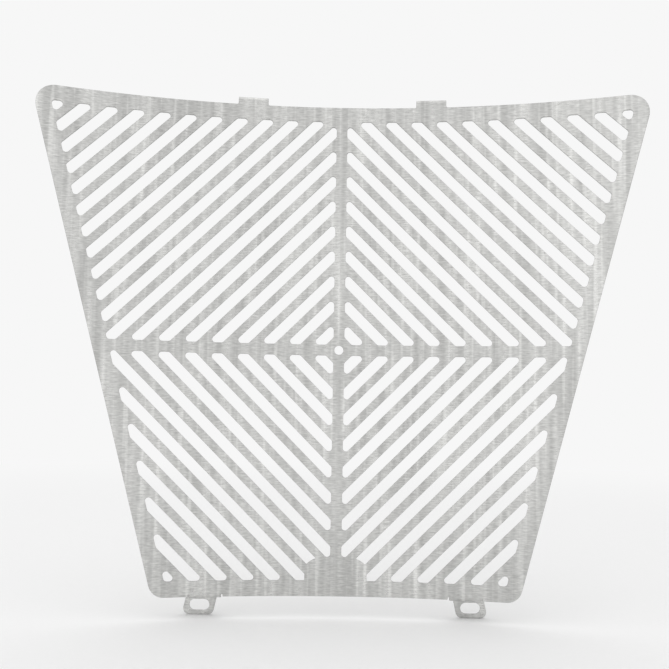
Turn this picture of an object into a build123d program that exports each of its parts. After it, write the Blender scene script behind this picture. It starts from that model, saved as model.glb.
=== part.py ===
from build123d import *
from build123d.topology import SkipClean
import os
from math import cos, degrees, hypot, radians, sin, tan

# A motorcycle radiator guard: one laser-cut sheet of stainless steel, rolled to an upright
# hollow curve, with two tabs bent back over the top and two slotted feet set back below.
# Millimetres. +Z is up, +X is to the right seen from the front, and the front faces -Y.
# The sheet is drawn flat first: u runs along the front face from the middle, v is the height
# above the hub. The origin of the finished part is midway between the two bolt slots, on the
# rear faces of the feet.

# Sheet
SHEET_THICKNESS = 1.5
ROLL_RADIUS = 545.0           # of the front face, about an upright axis in front of the guard
BEND_RADIUS = 1.0             # inside radius of every tab bend

# Outline of the flat blank
TOP_EDGE = 164.8              # above the hub
BOTTOM_EDGE = 158.8           # below the hub
HALF_WIDTH = 158.8            # at the height of the hub
SIDE_SLOPE = 14.9             # degrees from upright, widening upwards
TOP_CORNER_RADIUS = 12.0
BOTTOM_CORNER_RADIUS = 10.0

# Chevron slots around the hub
SLOT_PITCH = 12.0
SLOT_WIDTH = 6.9
SLOT_ANGLE = 45.0             # degrees from level
SLOT_END_RADIUS = 2.1         # on the sharp corners of a slot
SLOT_CORNER_RADIUS = 1.0      # on the corners that are neither sharp nor blunt
SMALLEST_SLOT_AREA = 15.0
RIM_WIDTH = 9.8
CROSS_BAR_WIDTH = 7.1
HUB_HOLE_DIAMETER = 6.0

# Plain land at the middle of the lower rim
LAND_WIDTH = 40.0
LAND_HEIGHT = 22.0            # above the lower edge, at the land's two ends
LAND_SLOPE = 22.5             # degrees from level, rising towards the middle

# Upper tabs, bent back at the top
UPPER_TAB_OFFSET = 60.0       # along the sheet, from the middle of the guard
UPPER_TAB_WIDTH = 20.0
UPPER_TAB_HEIGHT = 5.6        # above the top edge
UPPER_TAB_REACH = 14.0        # behind the front face
UPPER_TAB_ROOT_RADIUS = 1.0
UPPER_TAB_CORNER_RADIUS = 3.0

# Lower feet, bent back at the neck and down again
NECK_OFFSET = 83.0            # along the sheet, from the middle of the guard
NECK_WIDTH = 20.0
NECK_DROP = 1.0               # of the level leg's underside, below the lower edge
RELIEF_WIDTH = 1.0            # cut beside the neck so that the bend doesn't tear
FOOT_SETBACK = 12.0           # from the sheet's front face to the foot's
FOOT_WIDTH = 20.0
FOOT_DROP = 13.9              # below the lower edge
FOOT_LEAN = 12.0              # degrees outwards from upright
FOOT_CORNER_RADIUS = 4.0
BOLT_SPACING = 176.0
BOLT_SLOT_DROP = 7.6          # below the lower edge
BOLT_SLOT_LENGTH = 13.0
BOLT_SLOT_WIDTH = 7.0

# How the cuts are drawn
SHARP_CORNER = 65.0           # degrees: a slot's corner below this gets the end radius
BLUNT_CORNER = 110.0          # degrees: a slot's corner above this stays as cut
MOST_OF_SIDE = 0.96           # the share of a side that its two corner radii may take
LEAST_REACH = 1e-9            # of two corner radii along a side, to divide by
ARC = 2                       # points after the first that draw a true arc
TIP_SIDES = 5                 # short straight cuts that make the round end of a slot
STATIONS = 3                  # points on a slanting cut, which winds round the roll
CUT_CLEARANCE = 5.0           # of the cutting planes from the sheet's faces

# Worked out from the sizes above
SLOPE = tan(radians(SIDE_SLOPE))
SIDE_RIM = RIM_WIDTH / cos(radians(SIDE_SLOPE))
BEND_SIZE = BEND_RADIUS + SHEET_THICKNESS
TOP_HALF_WIDTH = HALF_WIDTH + TOP_EDGE * SLOPE
BOTTOM_HALF_WIDTH = HALF_WIDTH - BOTTOM_EDGE * SLOPE
STUB_HEIGHT = UPPER_TAB_HEIGHT - BEND_SIZE
NECK_LEVEL = -BOTTOM_EDGE - NECK_DROP
ROLL_AXIS = Axis((0, -ROLL_RADIUS, 0), (0, 0, -1))
FRONT_PLANE = -ROLL_RADIUS * (1 - cos(TOP_HALF_WIDTH / ROLL_RADIUS)) - CUT_CLEARANCE
BACK_PLANE = SHEET_THICKNESS + CUT_CLEARANCE
FOOT_FRONT = FOOT_SETBACK - ROLL_RADIUS * (1 - cos(NECK_OFFSET / ROLL_RADIUS))
FOOT_BACK = FOOT_FRONT + SHEET_THICKNESS
BOLT_HEIGHT = -BOTTOM_EDGE - BOLT_SLOT_DROP


def carried(point, depth):
    """A flat-pattern point, carried along its radius of the roll to the plane y = depth."""
    u, v = point
    return Vector((depth + ROLL_RADIUS) * tan(u / ROLL_RADIUS), depth, v)


def heading(start, end, at, depth):
    """The direction of a straight cut of the flat pattern where it passes one point, on that plane."""
    stretch = (depth + ROLL_RADIUS) / ROLL_RADIUS / cos(at[0] / ROLL_RADIUS) ** 2
    return Vector(stretch * (end[0] - start[0]), 0, end[1] - start[1])


def cut_edge(segment, depth):
    """One straight or round cut of the flat pattern, drawn on the plane y = depth."""
    start, end = segment[0], segment[-1]
    if len(segment) == 3:
        return ThreePointArc(*[carried(point, depth) for point in segment])
    if start[0] == end[0] or start[1] == end[1]:
        return Line(carried(start, depth), carried(end, depth))
    shares = [i / (STATIONS - 1) for i in range(STATIONS)]
    points = [(start[0] + (end[0] - start[0]) * s, start[1] + (end[1] - start[1]) * s) for s in shares]
    tangents = [heading(start, end, at, depth) for at in (start, end)]
    return Spline(*[carried(point, depth) for point in points], tangents=tangents)


def radial_prism(segments):
    """The flat cuts as a solid whose walls stand square to the rolled sheet."""
    front, back = [Wire([cut_edge(cut, depth) for cut in segments]) for depth in (FRONT_PLANE, BACK_PLANE)]
    return Solid.make_loft([front, back], ruled=True)


def corner_angle(before, corner, after):
    """The angle between the two sides that meet at a corner, in degrees."""
    one = Vector(before[0] - corner[0], before[1] - corner[1])
    two = Vector(after[0] - corner[0], after[1] - corner[1])
    return one.get_angle(two)


def round_corner(enter, centre, leave, cuts):
    """The round cut from one flat point to another about a centre, as an arc or as a few straight sides."""
    spoke = Vector(enter[0] - centre[0], enter[1] - centre[1])
    last_spoke = Vector(leave[0] - centre[0], leave[1] - centre[1])
    turn = spoke.get_signed_angle(last_spoke, Vector(0, 0, 1))
    spokes = [spoke.rotate(Axis.Z, turn * i / cuts) for i in range(1, cuts)]
    points = [enter] + [(centre[0] + s.X, centre[1] + s.Y) for s in spokes] + [leave]
    return [tuple(points)] if cuts == ARC else list(zip(points, points[1:]))


def rounded(corners, radii, cuts):
    """A flat polygon's sides, with its corners rounded as far as its sides leave room."""
    count = len(corners)
    sides = [(corners[i], corners[(i + 1) % count]) for i in range(count)]
    lengths = [hypot(b[0] - a[0], b[1] - a[1]) for a, b in sides]
    angles = [corner_angle(corners[i - 1], corners[i], corners[(i + 1) % count]) for i in range(count)]
    reaches = [r / tan(radians(angle / 2)) for r, angle in zip(radii, angles)]
    rooms = [lengths[i] / max(reaches[i] + reaches[(i + 1) % count], LEAST_REACH) for i in range(count)]
    shares = [min(1.0, MOST_OF_SIDE * rooms[i - 1], MOST_OF_SIDE * rooms[i]) for i in range(count)]
    segments = []
    for i in range(count):
        before, corner, after = corners[i - 1], corners[i], corners[(i + 1) % count]
        reach = reaches[i] * shares[i]
        enter = toward(corner, before, reach)
        leave = toward(corner, after, reach)
        if radii[i] > 0:
            # the centre lies on the line that halves the corner
            chord = ((enter[0] + leave[0]) / 2, (enter[1] + leave[1]) / 2)
            centre = toward(corner, chord, reach / cos(radians(angles[i] / 2)))
            segments += round_corner(enter, centre, leave, cuts)
        next_reach = reaches[(i + 1) % count] * shares[(i + 1) % count]
        segments.append((leave, toward(after, corner, next_reach)))
    return segments


def toward(start, target, distance):
    """The point at a distance from one flat point in the direction of another."""
    length = hypot(target[0] - start[0], target[1] - start[1])
    share = distance / length
    return (start[0] + (target[0] - start[0]) * share, start[1] + (target[1] - start[1]) * share)


def clipped(corners, normal, limit):
    """The part of a flat polygon whose distance along a normal is at most the limit."""
    kept = []
    for i, here in enumerate(corners):
        ahead = corners[(i + 1) % len(corners)]
        over_here = here[0] * normal[0] + here[1] * normal[1] - limit
        over_ahead = ahead[0] * normal[0] + ahead[1] * normal[1] - limit
        if over_here <= 0:
            kept.append(here)
        if over_here * over_ahead < 0:
            share = over_here / (over_here - over_ahead)
            kept.append((here[0] + (ahead[0] - here[0]) * share, here[1] + (ahead[1] - here[1]) * share))
    return kept


def crossing(a, b, c, d):
    """The flat point where the line through a and b meets the line through c and d."""
    ab = (b[0] - a[0], b[1] - a[1])
    cd = (d[0] - c[0], d[1] - c[1])
    turn = ab[0] * cd[1] - ab[1] * cd[0]
    share = ((c[0] - a[0]) * cd[1] - (c[1] - a[1]) * cd[0]) / turn
    return (a[0] + ab[0] * share, a[1] + ab[1] * share)


def without_short_side(corners, shortest):
    """A flat polygon whose shortest side, if it's under a length, gives way to its neighbours' crossing."""
    count = len(corners)
    pairs = [(corners[i - 1], corners[i]) for i in range(count)]
    lengths = [hypot(b[0] - a[0], b[1] - a[1]) for a, b in pairs]
    i = lengths.index(min(lengths))
    if count < 4 or lengths[i] >= shortest:
        return corners
    met = crossing(corners[i - 2], corners[i - 1], corners[i], corners[(i + 1) % count])
    return [met if corner is corners[i] else corner for corner in corners if corner is not corners[i - 1]]


def area(corners):
    """The area of a flat polygon."""
    pairs = zip(corners, corners[1:] + corners[:1])
    return abs(sum(a[0] * b[1] - a[1] * b[0] for a, b in pairs)) / 2


def slot_corners(number, up):
    """One slot of a quarter, as the corners of a polygon beside the hub: +1 is above it, -1 below."""
    across = (sin(radians(SLOT_ANGLE)), cos(radians(SLOT_ANGLE)))
    along = (across[1], -across[0])
    middle = number * SLOT_PITCH
    length = TOP_EDGE + BOTTOM_EDGE + TOP_HALF_WIDTH
    corners = [
        (across[0] * c + along[0] * s, across[1] * c + along[1] * s)
        for c, s in (
            (middle - SLOT_WIDTH / 2, -length),
            (middle + SLOT_WIDTH / 2, -length),
            (middle + SLOT_WIDTH / 2, length),
            (middle - SLOT_WIDTH / 2, length),
        )
    ]
    edge = TOP_EDGE if up > 0 else BOTTOM_EDGE
    limits = [
        ((-1, 0), -CROSS_BAR_WIDTH / 2),
        ((0, -1), -CROSS_BAR_WIDTH / 2),
        ((0, 1), edge - RIM_WIDTH),
        ((1, -up * SLOPE), HALF_WIDTH - SIDE_RIM),
    ]
    land_top = BOTTOM_EDGE - LAND_HEIGHT
    over_land = (middle - across[1] * land_top) / across[0]
    if up < 0 and over_land > LAND_WIDTH / 2:
        limits.append(((-1, 0), -LAND_WIDTH / 2))
    elif up < 0 and over_land > CROSS_BAR_WIDTH / 2:
        rise = tan(radians(LAND_SLOPE))
        limits.append(((-rise, 1), land_top - rise * LAND_WIDTH / 2))
    for normal, limit in limits:
        corners = clipped(corners, normal, limit)
    return corners


def slot_radius(angle):
    """The radius on a slot's corner, by the angle between its two sides."""
    if angle < SHARP_CORNER:
        return SLOT_END_RADIUS
    return SLOT_CORNER_RADIUS if angle < BLUNT_CORNER else 0


def slot_prisms():
    """The cutters of every slot in the two quarters to the right of the hub."""
    prisms = []
    last = int((TOP_EDGE + TOP_HALF_WIDTH) / SLOT_PITCH)
    for up in (1, -1):
        for number in range(1, last + 1):
            corners = slot_corners(number, up)
            if len(corners) < 3 or area(corners) < SMALLEST_SLOT_AREA:
                continue
            corners = without_short_side(corners, SLOT_END_RADIUS)
            count = len(corners)
            neighbours = [(corners[i - 1], corners[i], corners[(i + 1) % count]) for i in range(count)]
            radii = [slot_radius(corner_angle(*three)) for three in neighbours]
            placed = [(a, up * b) for a, b in corners]
            prisms.append(radial_prism(rounded(placed, radii, TIP_SIDES)))
    return prisms


def carried_round(profile, start, stop):
    """A profile of points (depth behind the front face, height), swept round the roll from u to u."""
    angle = start / ROLL_RADIUS
    radial_plane = Plane(
        origin=(0, -ROLL_RADIUS, 0),
        x_dir=(sin(angle), cos(angle), 0),
        z_dir=(cos(angle), -sin(angle), 0),
    )
    face = radial_plane * Pos(ROLL_RADIUS, 0) * profile
    return revolve(face, ROLL_AXIS, degrees((stop - start) / ROLL_RADIUS))


def bend_profile(height, up, reach):
    """The section of a tab that leaves the sheet at a height and turns back, up or down to its bend."""
    centre_depth = BEND_SIZE
    centre_height = height
    half = BEND_SIZE / 2 ** 0.5
    inner_half = BEND_RADIUS / 2 ** 0.5
    outer = ThreePointArc(
        (0, centre_height),
        (centre_depth - half, centre_height + up * half),
        (centre_depth, centre_height + up * BEND_SIZE),
    )
    inner = ThreePointArc(
        (centre_depth, centre_height + up * BEND_RADIUS),
        (centre_depth - inner_half, centre_height + up * inner_half),
        (SHEET_THICKNESS, centre_height),
    )
    lines = [outer, inner, Line(inner @ 1, outer @ 0)]
    if reach > centre_depth:
        lines.append(Polyline(outer @ 1, (reach, (outer @ 1).Y), (reach, (inner @ 0).Y), inner @ 0))
    else:
        lines.append(Line(outer @ 1, inner @ 0))
    return make_face(lines)


def blank():
    """The right half of the rolled sheet: a straight slanting side, round corners and the tab's stub."""
    height = TOP_EDGE + STUB_HEIGHT + BOTTOM_EDGE
    section = Pos(SHEET_THICKNESS / 2, height / 2 - BOTTOM_EDGE) * Rectangle(SHEET_THICKNESS, height)
    shell = carried_round(section, 0, TOP_HALF_WIDTH)
    tab_in = UPPER_TAB_OFFSET - UPPER_TAB_WIDTH / 2
    tab_out = UPPER_TAB_OFFSET + UPPER_TAB_WIDTH / 2
    stub_top = TOP_EDGE + STUB_HEIGHT + CUT_CLEARANCE
    outline = [
        (0, -BOTTOM_EDGE, 0),
        (0, TOP_EDGE, 0),
        (tab_in, TOP_EDGE, UPPER_TAB_ROOT_RADIUS),
        (tab_in, stub_top, 0),
        (tab_out, stub_top, 0),
        (tab_out, TOP_EDGE, UPPER_TAB_ROOT_RADIUS),
        (TOP_HALF_WIDTH, TOP_EDGE, TOP_CORNER_RADIUS),
        (BOTTOM_HALF_WIDTH, -BOTTOM_EDGE, BOTTOM_CORNER_RADIUS),
    ]
    corners = [(u, v) for u, v, r in outline]
    radii = [r for u, v, r in outline]
    return shell & radial_prism(rounded(corners, radii, ARC))


def upper_tab():
    """The right-hand upper tab: the bend at the top of its stub, and the leg behind it."""
    tab_in = UPPER_TAB_OFFSET - UPPER_TAB_WIDTH / 2
    tab_out = UPPER_TAB_OFFSET + UPPER_TAB_WIDTH / 2
    tab = carried_round(bend_profile(TOP_EDGE + STUB_HEIGHT, 1, UPPER_TAB_REACH), tab_in, tab_out)
    ends = tab.edges().filter_by(Axis.Z).group_by(Axis.Y)[-2:]
    return fillet([edge for group in ends for edge in group], UPPER_TAB_CORNER_RADIUS)


def neck_opening():
    """The cutter that frees the right-hand neck from the lower edge, relief cuts included."""
    half = NECK_WIDTH / 2 + RELIEF_WIDTH
    top = NECK_LEVEL + BEND_SIZE
    bottom = -BOTTOM_EDGE - CUT_CLEARANCE
    corners = [
        (NECK_OFFSET - half, bottom),
        (NECK_OFFSET - half, top),
        (NECK_OFFSET + half, top),
        (NECK_OFFSET + half, bottom),
    ]
    return radial_prism(rounded(corners, [0] * len(corners), ARC))


def lower_foot():
    """The right-hand foot: a bend back at the neck, a level leg, a bend down and a slotted flange."""
    bend = carried_round(
        bend_profile(NECK_LEVEL + BEND_SIZE, -1, BEND_SIZE),
        NECK_OFFSET - NECK_WIDTH / 2,
        NECK_OFFSET + NECK_WIDTH / 2,
    )

    # where the flange crosses the height of its slot, its middle is on the bolt
    lean = tan(radians(FOOT_LEAN))
    flange_top = NECK_LEVEL - BEND_RADIUS
    flange_end = -BOTTOM_EDGE - FOOT_DROP
    top_middle = BOLT_SPACING / 2 - (flange_top - BOLT_HEIGHT) * lean
    end_middle = BOLT_SPACING / 2 + (BOLT_HEIGHT - flange_end) * lean
    half = FOOT_WIDTH / 2

    # the leg, seen from above, from the neck's bend to the flange's
    leg_start = ROLL_RADIUS + BEND_SIZE
    angles = [(NECK_OFFSET + share * NECK_WIDTH / 2) / ROLL_RADIUS for share in (-1, 0, 1)]
    arc = ThreePointArc(*[(leg_start * sin(a), leg_start * cos(a) - ROLL_RADIUS) for a in angles])
    leg_end = FOOT_FRONT - BEND_RADIUS
    sides = Polyline(arc @ 1, (top_middle + half, leg_end), (top_middle - half, leg_end), arc @ 0)
    leg = Pos(0, 0, NECK_LEVEL) * extrude(make_face([arc, sides]), SHEET_THICKNESS)

    # the bend down, as a quarter of a ring along the flange's top
    ring = Circle(BEND_SIZE) - Circle(BEND_RADIUS)
    quarter = ring & Pos(BEND_SIZE / 2, BEND_SIZE / 2) * Rectangle(BEND_SIZE, BEND_SIZE)
    bend_plane = Plane(origin=(top_middle - half, leg_end, flange_top), x_dir=(0, 1, 0), z_dir=(1, 0, 0))
    turn = extrude(bend_plane * quarter, FOOT_WIDTH)

    # the flange, leaning outwards, with the bolt slot level in it
    flange_plane = Plane(origin=(0, FOOT_BACK, 0), x_dir=(1, 0, 0), z_dir=(0, -1, 0))
    flange = Polygon(
        (top_middle - half, flange_top),
        (end_middle - half, flange_end),
        (end_middle + half, flange_end),
        (top_middle + half, flange_top),
        align=None,
    )
    flange = fillet(flange.vertices().group_by(Axis.Y)[0], FOOT_CORNER_RADIUS)
    flange -= Pos(BOLT_SPACING / 2, BOLT_HEIGHT) * SlotOverall(BOLT_SLOT_LENGTH, BOLT_SLOT_WIDTH)
    return [bend, leg, turn, extrude(flange_plane * flange, SHEET_THICKNESS)]


def guard_panel():
    """The whole guard, in one piece: a right half and its mirror image, joined along the middle."""
    right = blank() - (slot_prisms() + [neck_opening()])
    right += [upper_tab()] + lower_foot()
    hub_hole = Rot(90, 0, 0) * Cylinder(HUB_HOLE_DIAMETER / 2, 2 * BACK_PLANE)
    # a seam along the middle is kept in the solid's faces, so that each half is faceted by itself
    with SkipClean():
        whole = right + mirror(right, Plane.YZ) - hub_hole
    return Pos(0, -FOOT_BACK, -BOLT_HEIGHT) * whole


os.makedirs("parts", exist_ok=True)
guard = guard_panel()
guard.label = "guard_panel"
export_step(guard, "parts/guard_panel.step")
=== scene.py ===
"""Finished look of a motorcycle radiator guard: one brushed stainless sheet, cut, rolled and folded."""

import logging
from dataclasses import dataclass, field
from enum import Enum, auto

import bpy
import numpy as np
from mathutils import Matrix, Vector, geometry


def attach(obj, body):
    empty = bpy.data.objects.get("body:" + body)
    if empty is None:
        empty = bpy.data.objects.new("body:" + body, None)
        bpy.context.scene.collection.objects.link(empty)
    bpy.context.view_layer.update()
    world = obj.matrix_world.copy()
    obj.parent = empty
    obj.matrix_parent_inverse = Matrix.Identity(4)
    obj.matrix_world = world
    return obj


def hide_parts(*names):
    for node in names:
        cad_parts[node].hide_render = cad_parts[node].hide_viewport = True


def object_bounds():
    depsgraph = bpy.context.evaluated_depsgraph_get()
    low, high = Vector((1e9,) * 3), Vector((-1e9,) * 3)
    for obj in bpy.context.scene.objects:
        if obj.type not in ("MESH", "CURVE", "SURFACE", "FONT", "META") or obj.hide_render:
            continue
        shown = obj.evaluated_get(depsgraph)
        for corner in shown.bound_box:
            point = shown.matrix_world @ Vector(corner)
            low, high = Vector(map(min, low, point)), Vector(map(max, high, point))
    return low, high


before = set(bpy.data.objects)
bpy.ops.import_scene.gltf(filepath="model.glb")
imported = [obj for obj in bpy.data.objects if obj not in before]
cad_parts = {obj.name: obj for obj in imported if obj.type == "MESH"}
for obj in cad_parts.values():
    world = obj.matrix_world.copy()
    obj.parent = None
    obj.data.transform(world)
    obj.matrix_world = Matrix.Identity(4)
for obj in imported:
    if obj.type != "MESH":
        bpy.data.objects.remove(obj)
cad_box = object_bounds()

log = logging.getLogger("radiator_guard")

Socket = bpy.types.NodeSocket

MM = 0.001
UP = (0.0, 0.0, 1.0)
WHITE = (1.0, 1.0, 1.0, 1.0)
QUARTER_TURN = np.pi / 2
FULL_RANGE = (0.0, 1.0)
ARC_SAG = 0.02          # millimetres between a round edge and the short sides that draw it
FEWEST_STEPS = 2        # of the arc at a rounded corner
MOST_OF_SIDE = 0.96     # the share of a side that its two corner radii may take
CLEAR_OF_CORNER = 2     # radii from a corner beyond which its arc has ended
FEWEST_CORNERS = 3      # of a polygon
FLAT_MAP = "flat_sheet"
CUT_MARK = "cut_wall"
WHOLE_HULL = 0          # the Delaunay triangulation's output: every triangle of the convex hull
POINT_TOLERANCE = 1e-6  # millimetres within which it takes two points for one


@dataclass(frozen=True)
class SheetSizes:
    """Sizes of the guard's sheet in millimetres and degrees, measured from the hub on the front face."""

    # sheet
    thickness: float = 1.5
    roll_radius: float = 545.0
    bend_radius: float = 1.0
    cut_edge: float = 0.2            # width of the broken edge along every cut

    # outline
    top_edge: float = 164.8
    bottom_edge: float = 158.8
    half_width: float = 158.8
    side_slope: float = 14.9
    top_corner: float = 12.0
    bottom_corner: float = 10.0

    # grille
    slot_pitch: float = 12.0
    slot_width: float = 6.9
    slot_angle: float = 45.0
    slot_corner: float = 2.1
    smallest_slot: float = 15.0      # square millimetres
    rim: float = 9.8
    cross_bar: float = 7.1
    hub_hole: float = 6.0

    # plain land at the middle of the lower rim
    land_width: float = 40.0
    land_height: float = 19.4
    land_slope: float = 31.0
    land_bulge: float = 0.7          # of a shoulder into the slot that ends at it
    land_shoulder: float = 12.0      # radius
    land_corner: float = 0.5         # radius of the slots' corners at the land

    # upper tabs
    tab_offset: float = 60.0
    tab_width: float = 20.0
    tab_height: float = 5.6
    tab_reach: float = 14.0
    tab_root: float = 1.0
    tab_corner: float = 3.0

    # feet and their bolt slots
    neck_offset: float = 83.0
    neck_drop: float = 1.0
    relief: float = 1.0
    relief_corner: float = 0.4
    foot_width: float = 20.0
    foot_setback: float = 12.0
    foot_drop: float = 13.9
    foot_lean: float = 12.0
    foot_corner: float = 4.0
    bolt_spacing: float = 176.0
    bolt_drop: float = 7.6
    bolt_slot_length: float = 13.0
    bolt_slot_width: float = 7.0

    @property
    def slope(self) -> float:
        """Widening of the guard to each side for a unit of height."""
        return float(np.tan(np.radians(self.side_slope)))

    @property
    def side_rim(self) -> float:
        """Width of the side rim, measured level."""
        return self.rim / float(np.cos(np.radians(self.side_slope)))

    @property
    def top_half_width(self) -> float:
        """Half the width of the flat sheet along its top edge."""
        return self.half_width + self.top_edge * self.slope

    @property
    def bottom_half_width(self) -> float:
        """Half the width of the flat sheet along its lower edge."""
        return self.half_width - self.bottom_edge * self.slope

    @property
    def bend_size(self) -> float:
        """Outside radius of a bend."""
        return self.bend_radius + self.thickness

    @property
    def bend_length(self) -> float:
        """Length of a quarter turn along the outside of a bend."""
        return self.bend_size * QUARTER_TURN

    @property
    def stub_top(self) -> float:
        """Height at which an upper tab starts to turn back."""
        return self.top_edge + self.tab_height - self.bend_size

    @property
    def tab_end(self) -> float:
        """Height of an upper tab's end in the flat sheet."""
        return self.stub_top + self.bend_length + self.tab_reach - self.bend_size

    @property
    def neck_level(self) -> float:
        """Height of the underside of a foot's level leg."""
        return -self.bottom_edge - self.neck_drop

    @property
    def neck_top(self) -> float:
        """Height at which a neck starts to turn back."""
        return self.neck_level + self.bend_size

    @property
    def foot_front(self) -> float:
        """Depth of a foot's front face behind the hub."""
        return self.foot_setback - self.roll_radius * float(1 - np.cos(self.neck_offset / self.roll_radius))

    @property
    def leg_end(self) -> float:
        """Depth at which a foot's leg starts to turn down."""
        return self.foot_front - self.bend_radius

    @property
    def leg_length(self) -> float:
        """Length of a leg along its middle."""
        reach = self.roll_radius + self.bend_size
        start = reach * float(np.cos(self.neck_offset / self.roll_radius)) - self.roll_radius
        return self.leg_end - start

    @property
    def foot_back(self) -> float:
        """Depth of a foot's rear face behind the hub."""
        return self.foot_front + self.thickness

    @property
    def bolt_height(self) -> float:
        """Height of the bolt slots."""
        return -self.bottom_edge - self.bolt_drop

    @property
    def flange_top(self) -> float:
        """Height at which a foot's flange starts below its bend."""
        return self.neck_level - self.bend_radius

    @property
    def flange_length(self) -> float:
        """Upright length of a foot's flange."""
        return self.flange_top + self.bottom_edge + self.foot_drop

    @property
    def lean(self) -> float:
        """Sideways step of a foot's flange for a unit of its drop."""
        return float(np.tan(np.radians(self.foot_lean)))

    @property
    def flange_middle(self) -> float:
        """Distance of a flange's middle from the middle of the guard, at the top of the flange."""
        return self.bolt_spacing / 2 - (self.flange_top - self.bolt_height) * self.lean

    @property
    def turn_down_start(self) -> float:
        """Length of a foot's strip at which its leg ends."""
        return self.bend_length + self.leg_length

    @property
    def flange_start(self) -> float:
        """Length of a foot's strip at which its flange starts."""
        return self.turn_down_start + self.bend_radius * QUARTER_TURN


class Quarter(Enum):
    """The grille's quarters, as the signs of the directions across and up from the hub."""

    UPPER_RIGHT = (1, 1)
    UPPER_LEFT = (-1, 1)
    LOWER_RIGHT = (1, -1)
    LOWER_LEFT = (-1, -1)

    @property
    def up(self) -> int:
        """+1 above the hub, -1 below."""
        return self.value[1]


class Surface(Enum):
    """The four levels of points through the sheet's thickness, from its front."""

    FRONT = auto()
    FRONT_WALL = auto()
    BACK_WALL = auto()
    BACK = auto()


def unit(vectors: np.ndarray) -> np.ndarray:
    """Vectors of an array, each divided by its length."""
    return vectors / np.linalg.norm(vectors, axis=-1, keepdims=True)


def directions(angles: np.ndarray) -> np.ndarray:
    """Flat unit directions: the cosine and the sine of each angle."""
    return np.stack([np.cos(angles), np.sin(angles)], axis=-1)


def spokes(count: int) -> np.ndarray:
    """Flat unit directions at equal steps once round."""
    return directions(np.linspace(0, 2 * np.pi, count, endpoint=False))


def left_of(vectors: np.ndarray) -> np.ndarray:
    """Flat vectors turned a quarter to the left."""
    return np.stack([-vectors[..., 1], vectors[..., 0]], axis=-1)


def lattice(columns: np.ndarray, rows: np.ndarray) -> np.ndarray:
    """Flat points where columns and rows cross."""
    return np.stack(np.meshgrid(columns, rows), axis=-1).reshape(-1, 2)


def sides_of(loop: np.ndarray) -> np.ndarray:
    """Steps from each point of a closed loop to the next."""
    return np.roll(loop, -1, axis=0) - loop


def counted(counts: np.ndarray) -> tuple[np.ndarray, np.ndarray]:
    """Counts through groups of points.

    Args:
        counts: Number of points in each group.

    Returns:
        The group of each point, and its number in that group from 0.
    """
    which = np.repeat(np.arange(len(counts)), counts)
    begun = np.cumsum(counts) - counts
    return which, np.arange(len(which)) - begun[which]


def ring_faces(starts: np.ndarray, ahead: np.ndarray) -> np.ndarray:
    """Four-sided faces that join rings of points, each ring to the next.

    Args:
        starts: Index of the first point of each ring.
        ahead: Place of each point's follower, counted from its ring's first point.

    Returns:
        Four indices in a row: a point, its like on the next ring, and the followers of both.
    """
    low = starts[:-1, None]
    high = starts[1:, None]
    here = np.arange(len(ahead))
    return np.stack([low + here, high + here, high + ahead, low + ahead], axis=-1).reshape(-1, 4)


def in_scene(name: str, data: bpy.types.ID) -> bpy.types.Object:
    """Puts a new object into the scene.

    Args:
        name: The object's name.
        data: Its mesh, lamp or camera.

    Returns:
        The object, at the origin.
    """
    made = bpy.data.objects.new(name, data)
    bpy.context.scene.collection.objects.link(made)
    return made


def standing(right: np.ndarray, up: np.ndarray, away: np.ndarray, place: np.ndarray) -> Matrix:
    """Matrix of a lamp or a camera, whose columns are its three axes and its place.

    Args:
        right: Direction of its own X.
        up: Direction of its own Y.
        away: Direction of its own Z, which points away from what it looks at.
        place: Where it stands, in metres.

    Returns:
        The object's matrix.
    """
    matrix = np.eye(4)
    matrix[:3] = np.stack([right, up, away, place], axis=1)
    return Matrix(matrix.tolist())


def rounded_loop(corners: np.ndarray, radii: np.ndarray) -> np.ndarray:
    """Rounds every corner of a polygon.

    The angle a of a corner is the arc cosine of the product of its sides' directions. An arc of
    radius r touches the two sides at r / tan(a / 2) from the corner, and its centre stands on the
    corner's bisector. Each point of the arc blends the first and the last spoke by the sines of the
    two shares of the turn.

    Args:
        corners: Polygon corners, one in a row.
        radii: Radius of each corner, above zero.

    Returns:
        Points of the rounded outline, in the order of the corners.
    """
    sides = sides_of(corners)
    after = unit(sides)
    before = -np.roll(after, 1, axis=0)
    half = np.arccos(np.clip((before * after).sum(axis=1), -1, 1)) / 2
    reach = radii / np.tan(half)
    room = MOST_OF_SIDE * np.linalg.norm(sides, axis=1) / (reach + np.roll(reach, -1))
    reach = reach * np.minimum(1, np.minimum(room, np.roll(room, 1)))
    radius = reach * np.tan(half)
    centre = corners + unit(before + after) * (reach / np.cos(half))[:, None]
    first_spoke = corners + before * reach[:, None] - centre
    last_spoke = corners + after * reach[:, None] - centre
    turn = np.pi - 2 * half
    step = 2 * np.arccos(1 - np.minimum(ARC_SAG / radius, 1))
    steps = np.maximum(np.ceil(turn / step).astype(int), FEWEST_STEPS)
    which, number = counted(steps + 1)
    share = number / steps[which]
    first = np.sin((1 - share) * turn[which]) / np.sin(turn[which])
    last = np.sin(share * turn[which]) / np.sin(turn[which])
    return centre[which] + first[:, None] * first_spoke[which] + last[:, None] * last_spoke[which]


def divided_loop(loop: np.ndarray, spacing: np.ndarray) -> np.ndarray:
    """Divides the sides of a closed loop into equal steps.

    Args:
        loop: Points of the loop, one in a row.
        spacing: Longest step on the side that starts at each point.

    Returns:
        The loop with the new points, each at its share of the way along its side.
    """
    sides = sides_of(loop)
    counts = np.ceil(np.linalg.norm(sides, axis=1) / spacing).astype(int)
    which, number = counted(counts)
    share = number / counts[which]
    return loop[which] + share[:, None] * sides[which]


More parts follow.
